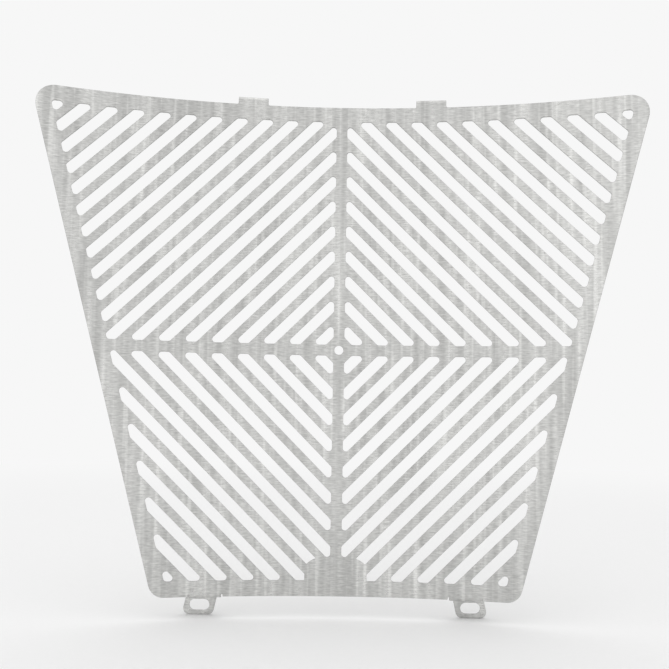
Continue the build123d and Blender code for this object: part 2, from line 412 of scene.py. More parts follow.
def clipped(corners: np.ndarray, normal: tuple[float, float], limit: float) -> np.ndarray:
    """Cuts a polygon off along a straight line.

    Args:
        corners: Polygon corners, one in a row.
        normal: Direction across the line, towards the side that is cut off.
        limit: Product of the normal with a point on the line.

    Returns:
        Corners that lie within the limit, with the points where the sides pass the line.
    """
    over = corners @ np.asarray(normal, dtype=float) - limit
    ahead = np.roll(over, -1)
    passes = over * ahead < 0
    share = np.divide(over, over - ahead, out=np.zeros_like(over), where=passes)
    met = corners + share[:, None] * sides_of(corners)
    return np.stack([corners, met], axis=1)[np.stack([over <= 0, passes], axis=1)]


def signed_area(loop: np.ndarray) -> float:
    """Area of a loop, positive where it runs anticlockwise."""
    ahead = np.roll(loop, -1, axis=0)
    return float((loop[:, 0] * ahead[:, 1] - loop[:, 1] * ahead[:, 0]).sum() / 2)


def without_short_side(corners: np.ndarray, shortest: float) -> np.ndarray:
    """Lets the shortest side of a polygon give way to the crossing of its neighbours.

    Args:
        corners: Polygon corners, one in a row.
        shortest: Length below which the side gives way.

    Returns:
        The polygon without that side, or as it was.
    """
    if len(corners) <= FEWEST_CORNERS:
        return corners
    lengths = np.linalg.norm(sides_of(corners), axis=1)
    least = int(np.argmin(lengths))
    if lengths[least] >= shortest:
        return corners
    before, first, last, after = np.roll(corners, 1 - least, axis=0)[:4]
    sides = np.stack([first - before, last - after], axis=1)
    share = np.linalg.solve(sides, after - before)[0]
    met = before + share * (first - before)
    others = np.roll(corners, -least, axis=0)[2:]
    return np.vstack([met[None, :], others])


@dataclass
class FlatPattern:
    """The sheet as it is cut, flat: u runs along the front face from the middle, v is the height."""

    sizes: SheetSizes

    # points along the cuts
    side_step: float = 8.0
    fold_step: float = 0.5
    round_end_points: int = 19
    hub_points: int = 36

    # points inside the sheet, with shares of a width to each side or of a height
    strip_columns: int = 7
    strip_share: float = 0.4
    bend_rows: int = 9
    leg_rows: int = 4
    land_columns: int = 7
    land_share: float = 0.42
    land_rows: int = 3
    land_levels: tuple[float, float] = (0.2, 0.8)

    def foot_edge(self) -> np.ndarray:
        """Right-hand foot's edge below its bends, drawn upright and then carried back through the lean.

        Returns:
            Flat points from the flange's inner top round its lower end to its outer top.
        """
        s = self.sizes
        half = s.foot_width / 2
        end = s.flange_length
        corners = np.array([
            (-half, 0.0),
            (s.lean * end - half, end),
            (s.lean * end + half, end),
            (half, 0.0),
        ])
        radii = np.array([s.relief_corner, s.foot_corner, s.foot_corner, s.relief_corner])
        arcs = rounded_loop(corners, radii)
        rounds = arcs[arcs[:, 1] > end - s.foot_corner * CLEAR_OF_CORNER]
        drawn = np.vstack([corners[:1], rounds, corners[-1:]])
        return self.from_flange(drawn)

    def from_flange(self, drawn: np.ndarray) -> np.ndarray:
        """Flat points of what is drawn on a right-hand flange.

        The lean slides each level line of the flange sideways by its drop times the lean, so a
        drawn point goes back by that much.

        Args:
            drawn: Points as distance from the flange's top middle and drop below its top.

        Returns:
            The points in the flat sheet.
        """
        s = self.sizes
        across = s.neck_offset + drawn[:, 0] - s.lean * drawn[:, 1]
        return np.stack([across, s.neck_top - s.flange_start - drawn[:, 1]], axis=1)

    def right_outline(self) -> np.ndarray:
        """Right half of the outline, from the middle of the lower edge to the middle of the top.

        Returns:
            Points with round corners, starting and ending beside the middle.
        """
        s = self.sizes
        tab_in = s.tab_offset - s.tab_width / 2
        tab_out = s.tab_offset + s.tab_width / 2
        neck_in = s.neck_offset - s.foot_width / 2
        neck_out = s.neck_offset + s.foot_width / 2
        before_foot = [
            (0.0, -s.bottom_edge, s.relief_corner),
            (neck_in - s.relief, -s.bottom_edge, s.relief_corner),
            (neck_in - s.relief, s.neck_top, s.relief_corner),
            (neck_in, s.neck_top, s.relief_corner),
        ]
        after_foot = [
            (neck_out, s.neck_top, s.relief_corner),
            (neck_out + s.relief, s.neck_top, s.relief_corner),
            (neck_out + s.relief, -s.bottom_edge, s.relief_corner),
            (s.bottom_half_width, -s.bottom_edge, s.bottom_corner),
            (s.top_half_width, s.top_edge, s.top_corner),
            (tab_out, s.top_edge, s.tab_root),
            (tab_out, s.tab_end, s.tab_corner),
            (tab_in, s.tab_end, s.tab_corner),
            (tab_in, s.top_edge, s.tab_root),
            (0.0, s.top_edge, s.relief_corner),
        ]
        low = s.neck_top - s.flange_start
        strip = [(neck_in, low, s.relief_corner), (neck_out, low, s.relief_corner)]
        table = np.array(before_foot + strip + after_foot)
        loop = rounded_loop(table[:, :2], table[:, 2])
        clear = s.relief_corner * CLEAR_OF_CORNER
        off_middle = loop[:, 0] > clear
        above_flange = loop[:, 1] > low + clear
        in_strip = loop[:, 1] < s.neck_top - clear
        kept = loop[off_middle & (above_flange | ~in_strip)]
        foot_at = int(np.flatnonzero(np.abs(kept[:, 0] - neck_in) < s.relief_corner).max()) + 1
        return np.vstack([kept[:foot_at], self.foot_edge(), kept[foot_at:]])

    def outline(self) -> np.ndarray:
        """Whole outline, anticlockwise: the right half, then its mirror image in reverse.

        Returns:
            Points of the loop, close together along the tabs and the feet.
        """
        s = self.sizes
        right = self.right_outline()
        loop = np.vstack([right, right[::-1] * (-1, 1)])
        middle = (loop + np.roll(loop, -1, axis=0)) / 2
        folded = (middle[:, 1] > s.top_edge) | (middle[:, 1] < -s.bottom_edge)
        return divided_loop(loop, np.where(folded, self.fold_step, self.side_step))

    def slot_corners(self, number: int, up: int) -> tuple[np.ndarray, np.ndarray]:
        """One slot of a right-hand quarter, before its corners are rounded.

        A long strip at the slot angle, the slot's number of pitches from the hub, is cut off by the
        cross bars, the rim, the slanting side and the plain land at the middle of the lower rim.

        Args:
            number: Count of the slot from the hub.
            up: +1 for an upper quarter, -1 for a lower one.

        Returns:
            Corners of the slot, with heights counted away from the hub, and the radius of each.
        """
        s = self.sizes
        angle = np.radians(s.slot_angle)
        across = np.array([np.sin(angle), np.cos(angle)])
        along = -left_of(across)
        middle = number * s.slot_pitch
        length = s.top_edge + s.bottom_edge + s.top_half_width
        shares = np.array([(-1, -1), (1, -1), (1, 1), (-1, 1)])
        offsets = middle + shares[:, :1] * s.slot_width / 2
        corners = offsets * across + shares[:, 1:] * length * along
        edge = s.top_edge if up > 0 else s.bottom_edge
        limits = [
            ((-1, 0), -s.cross_bar / 2),
            ((0, -1), -s.cross_bar / 2),
            ((0, 1), edge - s.rim),
            ((1, -up * s.slope), s.half_width - s.side_rim),
        ]

        # where the slot's middle line passes the height of the land's top, from the guard's middle
        land_half = s.land_width / 2
        land_top = s.bottom_edge - s.land_height
        passes = (middle - across[1] * land_top) / across[0]
        at_side = up < 0 and passes > land_half
        at_shoulder = up < 0 and s.cross_bar / 2 < passes <= land_half
        land_limits = []
        if at_side:
            land_limits.append(((-1, 0), -land_half))
        if at_shoulder:
            rise = float(np.tan(np.radians(s.land_slope)))
            land_limits.append(((-rise, 1), land_top - rise * land_half))

        for normal, limit in limits + land_limits:
            corners = clipped(corners, normal, limit)
        corners = without_short_side(corners, s.slot_corner)
        radii = np.full(len(corners), s.slot_corner)
        for normal, limit in land_limits:
            on_land = np.isclose(corners @ np.array(normal), limit)
            radii[on_land] = s.land_corner
            if at_shoulder:
                corners, radii = self.shouldered(corners, radii, on_land, unit(np.array(normal)))
        return corners, radii

    def shouldered(
        self, corners: np.ndarray, radii: np.ndarray, on_land: np.ndarray, outward: np.ndarray
    ) -> tuple[np.ndarray, np.ndarray]:
        """Bends the end of a slot round a shoulder of the land.

        The middle of the end moves into the slot by the shoulder's bulge, and a wide radius rounds it.

        Args:
            corners: Corners of the slot.
            radii: Radius of each.
            on_land: True for the two corners at the land.
            outward: Unit direction out of the slot, across its end.

        Returns:
            Corners and radii, with the shoulder among them.
        """
        s = self.sizes
        place = int(np.flatnonzero(on_land & np.roll(on_land, -1))[0]) + 1
        middle = corners[on_land].mean(axis=0) - outward * s.land_bulge
        return np.insert(corners, place, middle, axis=0), np.insert(radii, place, s.land_shoulder)

    def slots(self) -> list[np.ndarray]:
        """Every air slot of the grille.

        Returns:
            One clockwise loop for each slot, with round ends.
        """
        s = self.sizes
        loops = []
        last = int((s.top_edge + s.top_half_width) / s.slot_pitch)
        for quarter in Quarter:
            for number in range(1, last + 1):
                corners, radii = self.slot_corners(number, quarter.up)
                if len(corners) < FEWEST_CORNERS or abs(signed_area(corners)) < s.smallest_slot:
                    continue
                loops.append(self.as_hole(rounded_loop(corners, radii) * quarter.value))
        return loops

    def bolt_slots(self) -> list[np.ndarray]:
        """The two level bolt slots: a rectangle with fully round ends, carried back through the lean.

        Returns:
            One clockwise loop for each foot.
        """
        s = self.sizes
        drop = s.flange_top - s.bolt_height
        radius = s.bolt_slot_width / 2
        end = directions(np.linspace(-QUARTER_TURN, QUARTER_TURN, self.round_end_points)) * radius
        end[:, 0] += s.bolt_slot_length / 2 - radius
        drawn = np.vstack([end, -end]) + (s.lean * drop, drop)
        right = self.from_flange(drawn)
        return [self.as_hole(right * (side, 1)) for side in (1, -1)]

    def hub_hole(self) -> np.ndarray:
        """The round hole where the cross bars meet, as a clockwise loop."""
        return self.as_hole(spokes(self.hub_points) * self.sizes.hub_hole / 2)

    def as_hole(self, loop: np.ndarray) -> np.ndarray:
        """A loop turned clockwise and divided, so that the sheet lies on the left of its direction."""
        turned = loop if signed_area(loop) < 0 else loop[::-1]
        return divided_loop(turned, np.full(len(turned), self.side_step))

    def loops(self) -> list[np.ndarray]:
        """All cuts of the sheet, the outline first."""
        return [self.outline(), *self.slots(), *self.bolt_slots(), self.hub_hole()]

    def inner_points(self) -> np.ndarray:
        """Points inside the sheet where it needs them to follow its folds and the roll.

        Returns:
            Rows across the tabs and the feet at equal steps of their bends, and a lattice on the land.
        """
        s = self.sizes
        across = np.linspace(-self.strip_share, self.strip_share, self.strip_columns)
        turn = np.linspace(0, 1, self.bend_rows)
        back = turn * s.bend_length
        leg = np.linspace(s.bend_length, s.turn_down_start, self.leg_rows)[1:]
        down = s.turn_down_start + turn[1:] * s.bend_radius * QUARTER_TURN
        foot_rows = s.neck_top - np.concatenate([back, leg, down])
        tab = lattice(s.tab_offset + across * s.tab_width, s.stub_top + back)
        foot = lattice(s.neck_offset + across * s.foot_width, foot_rows)
        right = np.vstack([tab, foot])
        land_across = np.linspace(-self.land_share, self.land_share, self.land_columns) * s.land_width
        land_heights = s.land_height * np.linspace(*self.land_levels, self.land_rows) - s.bottom_edge
        return np.vstack([right, right * (-1, 1), lattice(land_across, land_heights)])


@dataclass(frozen=True)
class Level:
    """Points of the flat sheet at one depth below its front face."""

    flat: np.ndarray
    depth: float

    def shifted(self, step: np.ndarray) -> "Level":
        """The points moved along u and v and into the depth."""
        return Level(self.flat + step[:2], self.depth + step[2])


@dataclass
class FoldedSheet:
    """Carries the flat sheet to its rolled and folded place in the part's frame."""

    sizes: SheetSizes
    probe: float = 0.01              # millimetres moved to measure a direction

    def rolled(self, u: np.ndarray, back: np.ndarray, height: np.ndarray) -> np.ndarray:
        """Points on the roll: the arc u / R of a circle whose radius is R plus the depth behind the front.

        Args:
            u: Lengths along the front face.
            back: Depths behind the front face.
            height: Heights above the hub.

        Returns:
            One point in a row.
        """
        radius = self.sizes.roll_radius
        across = (radius + back) * np.sin(u / radius)
        behind = (radius + back) * np.cos(u / radius) - radius
        return np.stack([across, behind, height], axis=1)

    def panel(self, level: Level) -> np.ndarray:
        """The rolled panel with its upper tabs.

        Above the stub a tab turns through the angle s / B, where s is the height above the stub and
        B the outside radius of the bend; the depth goes from d to B - (B - d) cos, the height rises
        by (B - d) sin, and after a quarter turn the rest of s runs straight back.

        Args:
            level: Flat points at one depth.

        Returns:
            One point in a row.
        """
        s = self.sizes
        u, v = level.flat.T
        above = v - s.stub_top
        turn = np.clip(above / s.bend_size, 0, QUARTER_TURN)
        straight = np.maximum(above - s.bend_length, 0)
        bend = s.bend_size - level.depth
        back = s.bend_size - bend * np.cos(turn) + straight
        height = np.minimum(v, s.stub_top) + bend * np.sin(turn)
        return self.rolled(u, back, height)

    def feet(self, level: Level) -> np.ndarray:
        """The two feet: a quarter turn back, a level leg, a quarter turn down and a leaning flange.

        The first turn is the tabs' one upside down. The leg runs straight from the roll to the
        flange's plane. The second turn has the inside radius r plus the depth d, about a line r
        below the leg. On the flange a point drops by the rest of its length and leans outwards.

        Args:
            level: Flat points at one depth.

        Returns:
            One point in a row.
        """
        s = self.sizes
        u, v = level.flat.T
        side = np.where(u < 0, -1.0, 1.0)
        run = s.neck_top - v
        turn = np.clip(run / s.bend_size, 0, QUARTER_TURN)
        first_bend = s.bend_size - level.depth
        back = s.bend_size - first_bend * np.cos(turn)
        neck = self.rolled(u, back, s.neck_top - first_bend * np.sin(turn))
        share = np.clip((run - s.bend_length) / s.leg_length, 0, 1)[:, None]
        leg_end = np.stack([
            side * (s.flange_middle + np.abs(u) - s.neck_offset),
            np.full(len(u), s.leg_end),
            neck[:, 2],
        ], axis=1)
        points = neck + share * (leg_end - neck)
        down = np.clip((run - s.turn_down_start) / s.bend_radius, 0, QUARTER_TURN)
        drop = np.maximum(run - s.flange_start, 0)
        second_bend = s.bend_radius + level.depth
        points[:, 0] += side * s.lean * drop
        points[:, 1] += second_bend * np.sin(down)
        points[:, 2] -= second_bend * (1 - np.cos(down)) + drop
        return points

    def carry(self, level: Level) -> np.ndarray:
        """Flat points in the part's frame, whose origin is on the feet's rear faces at the bolts' height.

        Args:
            level: Flat points at one depth.

        Returns:
            One point in a row, in millimetres.
        """
        s = self.sizes
        u, v = level.flat.T
        beside = np.abs(np.abs(u) - s.neck_offset) < (s.foot_width + s.relief) / 2
        in_foot = beside & (v < s.neck_top)
        points = np.where(in_foot[:, None], self.feet(level), self.panel(level))
        return points - (0, s.foot_back, s.bolt_height)

    def slopes(self, level: Level, step: tuple[float, float, float]) -> np.ndarray:
        """Direction in which points move: the difference between a small step ahead and one behind.

        Args:
            level: Flat points at one depth.
            step: Changes of u, v and the depth.

        Returns:
            The movement of each point for a whole step, one in a row.
        """
        shift = np.asarray(step) * self.probe
        ahead = self.carry(level.shifted(shift))
        behind = self.carry(level.shifted(-shift))
        return (ahead - behind) / (2 * self.probe)

    def face_normals(self, level: Level) -> np.ndarray:
        """Unit normals towards the front: the direction of u crossed with that of v."""
        return unit(np.cross(self.slopes(level, (1, 0, 0)), self.slopes(level, (0, 1, 0))))

    def wall_normals(self, level: Level, heading: np.ndarray) -> np.ndarray:
        """Normals out of the cut edges: the direction of the depth crossed with that of the cut.

        Args:
            level: Flat points of the cuts at one depth.
            heading: Flat direction of the cut at each point, with the sheet on its left.

        Returns:
            One unit normal in a row.
        """
        along_u = self.slopes(level, (1, 0, 0))
        along_v = self.slopes(level, (0, 1, 0))
        through = self.slopes(level, (0, 0, 1))
        along_cut = heading[:, :1] * along_u + heading[:, 1:] * along_v
        return unit(np.cross(through, along_cut))


class Operation(Enum):
    """Operations that put values of a material together."""

    ADD = "ADD"
    MULTIPLY = "MULTIPLY"
    LARGEST = "MAXIMUM"


@dataclass(frozen=True)
class Marks:
    """Marks on a surface, made by noise."""

    name: str
    scale: tuple[float, ...]                     # marks for each metre along each coordinate
    detail: float                                # finer layers laid over the first
    tones: tuple[float, float]                   # factors of the colour for the darkest and the lightest mark
    taken: tuple[float, float] = (0.3, 0.7)      # the part of the noise's range that those tones span


@dataclass(frozen=True)
class NodeDesk:
    """Lays out the nodes of one material or world and joins them."""

    tree: bpy.types.NodeTree

    def add(self, kind: str) -> bpy.types.Node:
        """A new node of one kind."""
        return self.tree.nodes.new(kind)

    def feed(self, value: Socket | float, target: Socket) -> None:
        """Gives a socket a number, or leads another socket into it.

        Args:
            value: The number or the other socket.
            target: The socket that takes it.
        """
        if isinstance(value, Socket):
            self.tree.links.new(value, target)
        else:
            target.default_value = value

    def noise(self, place: Socket, marks: Marks) -> Socket:
        """Noise whose grains are stretched along each coordinate.

        Args:
            place: Coordinates that the noise is read at.
            marks: What it stands for, with its scale and detail.

        Returns:
            A value from 0 to 1, mostly near the middle.
        """
        mapping = self.add("ShaderNodeMapping")
        mapping.name = f"{marks.name} scale"
        # two scales are for a flat map, whose third coordinate stays as it is
        mapping.inputs["Scale"].default_value = (*marks.scale, 1.0)[:3]
        texture = self.add("ShaderNodeTexNoise")
        texture.name = marks.name
        texture.noise_dimensions = f"{len(marks.scale)}D"
        self.feed(1.0, texture.inputs["Scale"])
        self.feed(marks.detail, texture.inputs["Detail"])
        self.feed(place, mapping.inputs["Vector"])
        self.feed(mapping.outputs["Vector"], texture.inputs["Vector"])
        return texture.outputs["Fac"]

    def spread(
        self, value: Socket, ends: tuple[Socket | float, Socket | float], taken: tuple[float, float]
    ) -> Socket:
        """Stretches a part of a value's range between two ends, and holds what lies past it.

        Args:
            value: The value.
            ends: What the start and the end of that part become.
            taken: Start and end of the part.

        Returns:
            The stretched value.
        """
        ranged = self.add("ShaderNodeMapRange")
        for name, number in zip(("From Min", "From Max", "To Min", "To Max"), (*taken, *ends)):
            self.feed(number, ranged.inputs[name])
        self.feed(value, ranged.inputs["Value"])
        return ranged.outputs["Result"]

    def together(self, how: Operation, *values: Socket | float) -> Socket:
        """Puts values together by one operation, from the first to the last.

        Args:
            how: The operation.
            values: Two or more sockets or numbers.

        Returns:
            The result.
        """
        result = values[0]
        for value in values[1:]:
            maths = self.add("ShaderNodeMath")
            maths.operation = how.value
            self.feed(result, maths.inputs[0])
            self.feed(value, maths.inputs[1])
            result = maths.outputs["Value"]
        return result

    def mixed(self, share: Socket, one: Socket, other: Socket) -> Socket:
        """Mixes two shaders.

        Args:
            share: Share of the other shader, from 0 to 1.
            one: The shader that the rest comes from.
            other: The other shader.

        Returns:
            The mixture.
        """
        mix = self.add("ShaderNodeMixShader")
        for value, socket in zip((share, one, other), mix.inputs):
            self.feed(value, socket)
        return mix.outputs["Shader"]

    def seen_rays(self) -> Socket:
        """Picks the rays that see the surroundings: straight, by reflection or through glass.

        Returns:
            1 for those rays and 0 for the light on rough surfaces.
        """
        path = self.add("ShaderNodeLightPath")
        kinds = ("Is Camera Ray", "Is Glossy Ray", "Is Transmission Ray")
        return self.together(Operation.LARGEST, *[path.outputs[kind] for kind in kinds])


@dataclass(frozen=True)
class BrushedStainless:
    """Stainless sheet brushed level, with painted upright reflection bands and painted highlight glints in
    its colour, and matt laser-cut walls.
    """

    colour: tuple[float, float, float] = (0.603, 0.603, 0.589)
    anisotropy: float = 0.5
    roughness: float = 0.34
    streak_roughness: float = 0.04
    band_roughness: float = -0.05
    cut_roughness: float = 0.12
    relief_strength: float = 0.15
    relief_height: float = 0.00006    # metres

    # marks on the flat sheet, across and up; the upright bands are painted reflection and the upright glints
    # painted highlight
    grain: Marks = Marks("level grain", (170.0, 2100.0), 3.0, (0.86, 1.14))
    streaks: Marks = Marks("level streaks", (320.0, 800.0), 2.0, (0.92, 1.08))
    # painted reflection: light and dark upright bands in the colour, standing for the reflections of the
    # roll's slight facets
    painted_reflection_bands: Marks = Marks("upright bands", (170.0, 9.0), 1.0, (0.88, 1.1))
    # painted highlight: bright upright streaks in the colour, which only lighten it
    painted_highlight_glints: Marks = Marks("upright glints", (300.0, 12.0), 1.0, (1.0, 1.18), (0.54, 0.74))
    clouds: Marks = Marks("wide clouds", (8.0, 8.0), 2.0, (0.96, 1.04))

    # lines that the laser leaves through the sheet on the cut walls
    cut_lines: Marks = Marks("lines of the cut", (2200.0, 160.0, 2200.0), 1.0, (0.62, 0.9))

    def material(self) -> bpy.types.Material:
        """Builds the finish from noise on the map of the flat sheet, so that it follows the folds.

        The tone is the product of all the marks' tones, among them painted reflection bands and painted
        highlight glints.
        On the cut walls it is also multiplied by the tone of the laser's lines, and the roughness rises.

        Returns:
            A brushed metal whose colour, roughness and relief vary.
        """
        material = bpy.data.materials.new("brushed_stainless_finish")
        material.use_nodes = True
        desk = NodeDesk(material.node_tree)
        shader = material.node_tree.nodes["Principled BSDF"]
        desk.feed(1.0, shader.inputs["Metallic"])
        desk.feed(self.anisotropy, shader.inputs["Anisotropic"])

        sheet = desk.add("ShaderNodeUVMap")
        sheet.uv_map = FLAT_MAP
        # the bands and the glints among these marks are painted reflection and painted highlight in the base
        # colour
        on_sheet = (self.grain, self.streaks, self.painted_reflection_bands, self.painted_highlight_glints, self.clouds)
        noises = {marks: desk.noise(sheet.outputs["UV"], marks) for marks in on_sheet}
        tones = [desk.spread(noise, marks.tones, marks.taken) for marks, noise in noises.items()]

        place = desk.add("ShaderNodeTexCoord")
        lines = desk.noise(place.outputs["Object"], self.cut_lines)
        cut_tone = desk.spread(lines, self.cut_lines.tones, self.cut_lines.taken)
        cut = desk.add("ShaderNodeAttribute")
        cut.attribute_name = CUT_MARK
        on_cut = cut.outputs["Fac"]
        tones.append(desk.spread(on_cut, (1.0, cut_tone), FULL_RANGE))

        tint = desk.add("ShaderNodeVectorMath")
        tint.operation = "SCALE"
        tint.inputs[0].default_value = self.colour
        desk.feed(desk.together(Operation.MULTIPLY, *tones), tint.inputs["Scale"])
        desk.feed(tint.outputs["Vector"], shader.inputs["Base Color"])

        rough = [self.roughness, desk.together(Operation.MULTIPLY, on_cut, self.cut_roughness)]
        for marks, change in ((self.streaks, self.streak_roughness), (self.painted_reflection_bands, self.band_roughness)):
            rough.append(desk.spread(noises[marks], (-change, change), marks.taken))
        desk.feed(desk.together(Operation.ADD, *rough), shader.inputs["Roughness"])

        bump = desk.add("ShaderNodeBump")
        desk.feed(self.relief_strength, bump.inputs["Strength"])
        desk.feed(self.relief_height, bump.inputs["Distance"])
        height = desk.together(Operation.ADD, noises[self.grain], noises[self.streaks])
        desk.feed(height, bump.inputs["Height"])
        desk.feed(bump.outputs["Normal"], shader.inputs["Normal"])

        tangent = desk.add("ShaderNodeTangent")
        tangent.direction_type = "UV_MAP"
        tangent.uv_map = FLAT_MAP
        desk.feed(tangent.outputs["Tangent"], shader.inputs["Tangent"])
        return material


@dataclass
class GuardPanel:
    """The guard itself: the whole folded sheet in one piece."""

    sizes: SheetSizes = field(default_factory=SheetSizes)
    finish: BrushedStainless = field(default_factory=BrushedStainless)
    node: str = "guard_panel"
    slot: str = "brushed_stainless"

    def build(self) -> bpy.types.Object:
        """Builds the sheet as a closed mesh.

        The flat faces between the inset cuts are triangulated once and laid on the front and, turned
        over, on the back. Along every cut three rings join them: a broken edge, the wall and a
        second broken edge. Each point keeps the exact normal of the folded surface.

        Returns:
            The finished object, at the origin.
        """
        s = self.sizes
        pattern = FlatPattern(s)
        fold = FoldedSheet(s)
        loops = pattern.loops()
        cuts = np.vstack(loops)
        ahead = self.next_points(loops)
        heading, inset = self.inset_points(cuts, ahead)
        outward = -left_of(heading)
        faces_flat = np.vstack([inset, pattern.inner_points()])
        triangles = self.triangles(faces_flat, ahead)

        levels = {
            Surface.FRONT: Level(faces_flat, 0.0),
            Surface.FRONT_WALL: Level(cuts, s.cut_edge),
            Surface.BACK_WALL: Level(cuts, s.thickness - s.cut_edge),
            Surface.BACK: Level(faces_flat, s.thickness),
        }
        points = np.vstack([fold.carry(level) for level in levels.values()])
        normals = np.vstack([
            fold.face_normals(levels[Surface.FRONT]),
            fold.wall_normals(levels[Surface.FRONT_WALL], heading),
            fold.wall_normals(levels[Surface.BACK_WALL], heading),
            -fold.face_normals(levels[Surface.BACK]),
        ])
        counts = np.array([len(level.flat) for level in levels.values()])
        starts = np.cumsum(counts) - counts
        first = dict(zip(levels, starts))
        turned = triangles[:, ::-1] + first[Surface.BACK]
        rings = ring_faces(starts, ahead)

        mesh = bpy.data.meshes.new(self.node)
        polygons = [*triangles.tolist(), *turned.tolist(), *rings.tolist()]
        mesh.from_pydata((points * MM).tolist(), [], polygons)
        mesh.polygons.foreach_set("use_smooth", np.ones(len(polygons), dtype=bool))
        opened = [cuts + outward * levels[wall].depth for wall in (Surface.FRONT_WALL, Surface.BACK_WALL)]
        self.lay_map(mesh, np.vstack([faces_flat, *opened, faces_flat]) * MM)
        self.mark_cuts(mesh, slice(first[Surface.FRONT_WALL], first[Surface.BACK]))
        mesh.normals_split_custom_set_from_vertices(normals.tolist())
        mesh.update()
        piece = in_scene("folded_guard_sheet", mesh)
        log.info("%s: %d cuts, %d points, %d faces", piece.name, len(loops), len(points), len(polygons))
        return piece

    @staticmethod
    def lay_map(mesh: bpy.types.Mesh, places: np.ndarray) -> None:
        """Lays the flat sheet out as the mesh's map, in metres, so that the brushing follows the folds.

        Args:
            mesh: The folded sheet.
            places: Flat place of each point, with the walls opened outwards by their depth.
        """
        corners = np.empty(len(mesh.loops), dtype=np.int32)
        mesh.loops.foreach_get("vertex_index", corners)
        layer = mesh.uv_layers.new(name=FLAT_MAP)
        layer.data.foreach_set("uv", places[corners].astype(np.float32).ravel())

    @staticmethod
    def mark_cuts(mesh: bpy.types.Mesh, walls: slice) -> None:
        """Marks the points of the cut walls with 1 and the others with 0, for the finish.

        Args:
            mesh: The folded sheet.
            walls: Which of its points stand on the cut walls.
        """
        marked = np.zeros(len(mesh.vertices), dtype=np.float32)
        marked[walls] = 1
        mesh.attributes.new(CUT_MARK, "FLOAT", "POINT").data.foreach_set("value", marked)

    @staticmethod
    def next_points(loops: list[np.ndarray]) -> np.ndarray:
        """Finds the point that follows each point round its own loop.

        Args:
            loops: Points of each loop.

        Returns:
            The follower's index for each point, counted through all loops; a loop's last point leads
            back to its first.
        """
        lengths = np.array([len(loop) for loop in loops])
        ends = np.cumsum(lengths)
        ahead = np.arange(ends[-1]) + 1
        ahead[ends - 1] = ends - lengths
        return ahead

    def inset_points(self, cuts: np.ndarray, ahead: np.ndarray) -> tuple[np.ndarray, np.ndarray]:
        """Direction of the cuts at their points, and the points set in by the broken edge.

        With the unit normals m and n of the two sides at a point, the sides set in by b meet at
        b (m + n) / (1 + m . n) from it.

        Args:
            cuts: Points of all loops, with the sheet on their left.
            ahead: Index of each point's follower.

        Returns:
            Flat unit directions, and flat points set in.
        """
        sides = unit(cuts[ahead] - cuts)
        earlier = np.empty_like(sides)
        earlier[ahead] = sides
        left = left_of(sides)
        earlier_left = left_of(earlier)
        both = left + earlier_left
        share = 1 + (left * earlier_left).sum(axis=1, keepdims=True)
        return unit(sides + earlier), cuts + self.sizes.cut_edge * both / share

    @staticmethod
    def triangles(flat: np.ndarray, ahead: np.ndarray) -> np.ndarray:
        """Triangles between the cuts, from a Delaunay triangulation that keeps every side of the loops.

        Every loop has the sheet on its left. So a triangle that runs along a loop in its direction is
        part of the sheet, and one that runs along it the other way lies in a hole or outside. The rest
        take after their neighbours across sides that no loop follows.

        Args:
            flat: Inset points of the loops, followed by the inner points.
            ahead: Index of each loop point's follower.

        Returns:
            Three indices in a row, anticlockwise.
        """
        sides = np.stack([np.arange(len(ahead)), ahead], axis=1)
        corners, _, faces, *_ = geometry.delaunay_2d_cdt(
            flat.tolist(), sides.tolist(), [], WHOLE_HULL, POINT_TOLERANCE, False
        )
        if len(corners) != len(flat):
            raise ValueError(f"the flat sheet's cuts touch: {len(flat)} points became {len(corners)}")
        first = np.array(faces)
        last = np.roll(first, -1, axis=1)
        follower = np.append(ahead, np.full(len(flat) - len(ahead), -1))
        along = follower[first] == last
        against = follower[last] == first
        state = along.any(axis=1).astype(int) - against.any(axis=1)

        free = ~(along | against)
        key = (np.minimum(first, last) * len(flat) + np.maximum(first, last))[free]
        owner = np.nonzero(free)[0][np.argsort(key, kind="stable")]
        key = np.sort(key)
        paired = np.flatnonzero(key[1:] == key[:-1])
        one, other = owner[paired], owner[paired + 1]
        while (state == 0).any():
            votes = np.zeros_like(state)
            np.add.at(votes, one, state[other])
            np.add.at(votes, other, state[one])
            state = np.where(state == 0, np.sign(votes), state)
        return first[state > 0]

    def dress(self, piece: bpy.types.Object) -> None:
        """Gives the sheet its finish and lets it stand for the solid.

        Args:
            piece: The folded sheet.
        """
        piece.data.materials.append(self.finish.material())
        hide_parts(self.node)
        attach(piece, "root")


